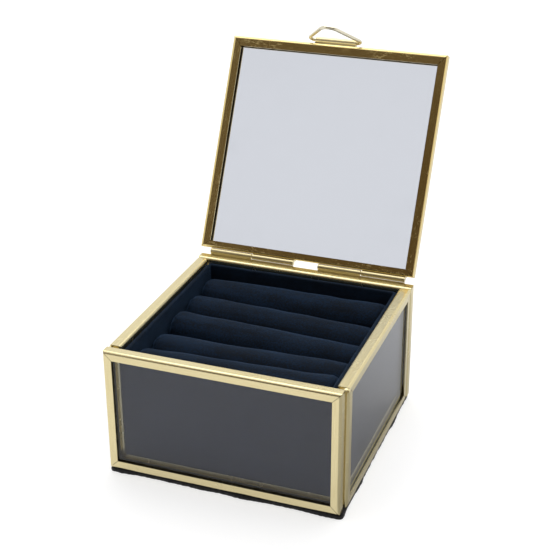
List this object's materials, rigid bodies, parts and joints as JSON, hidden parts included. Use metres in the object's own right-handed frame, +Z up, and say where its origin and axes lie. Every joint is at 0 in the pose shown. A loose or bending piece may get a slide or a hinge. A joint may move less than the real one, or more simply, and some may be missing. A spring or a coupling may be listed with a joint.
{
  "type": "jewelry gift box",
  "caption": "Square glass box with brass-edged panes, a hinged glass lid with a wire pull ring, and a velvet tray of soft rolls that hold finger rings.",
  "frame": {"origin": "centre of the felt pad's underside, which the box rests on", "axes": "+Z up, the front of the box faces -Y, the hinges are at +Y, +X to the right seen from the front"},
  "size_m": [0.1012, 0.1504, 0.1565],
  "materials": {
    "brass": "polished pale brass",
    "solder": "plated solder",
    "clear_glass": "clear",
    "felt": "black felt",
    "velvet": "navy velvet",
    "foam": "dark open foam",
    "tray_board": "dark slate paper-covered board"
  },
  "bodies": {
    "box": {"felt_pad": "felt", "base_bottom_strip": "brass", "base_right_strip": "brass", "base_top_strip": "brass", "base_left_strip": "brass", "base_glass": "clear_glass", "front_bottom_strip": "brass", "front_right_strip": "brass", "front_top_strip": "brass", "front_left_strip": "brass", "front_glass": "clear_glass", "back_bottom_strip": "brass", "back_right_strip": "brass", "back_top_strip": "brass", "back_left_strip": "brass", "back_glass": "clear_glass", "left_bottom_strip": "brass", "left_right_strip": "brass", "left_top_strip": "brass", "left_left_strip": "brass", "left_glass": "clear_glass", "right_bottom_strip": "brass", "right_right_strip": "brass", "right_top_strip": "brass", "right_left_strip": "brass", "right_glass": "clear_glass", "corner_solder": "solder", "left_box_knuckle": "brass", "left_hinge_pin": "brass", "right_box_knuckle": "brass", "right_hinge_pin": "brass", "tray_floor": "tray_board", "tray_front_wall": "tray_board", "tray_back_wall": "tray_board", "tray_left_wall": "tray_board", "tray_right_wall": "tray_board", "tray_velvet": "velvet", "foam_bed": "foam", "ring_roll_1": "velvet", "ring_roll_2": "velvet", "ring_roll_3": "velvet", "ring_roll_4": "velvet", "ring_roll_5": "velvet"},
    "lid": {"lid_bottom_strip": "brass", "lid_right_strip": "brass", "lid_top_strip": "brass", "lid_left_strip": "brass", "lid_glass": "clear_glass", "left_lid_knuckle": "brass", "right_lid_knuckle": "brass", "pull_sleeve": "brass"},
    "ring": {"pull_ring": "brass"}
  },
  "joints": [
    {"name": "lid_hinge", "type": "hinge", "parent": "box", "child": "lid", "pos_m": [0, 0.05085, 0.05715], "axis": [1, 0, 0], "range_deg": [0, 117.5]},
    {"name": "ring_swing", "type": "hinge", "parent": "lid", "child": "ring", "pos_m": [-0.0028, 0.09897, 0.14611], "axis": [-1, 0, 0], "range_deg": [0, 175]}
  ]
}
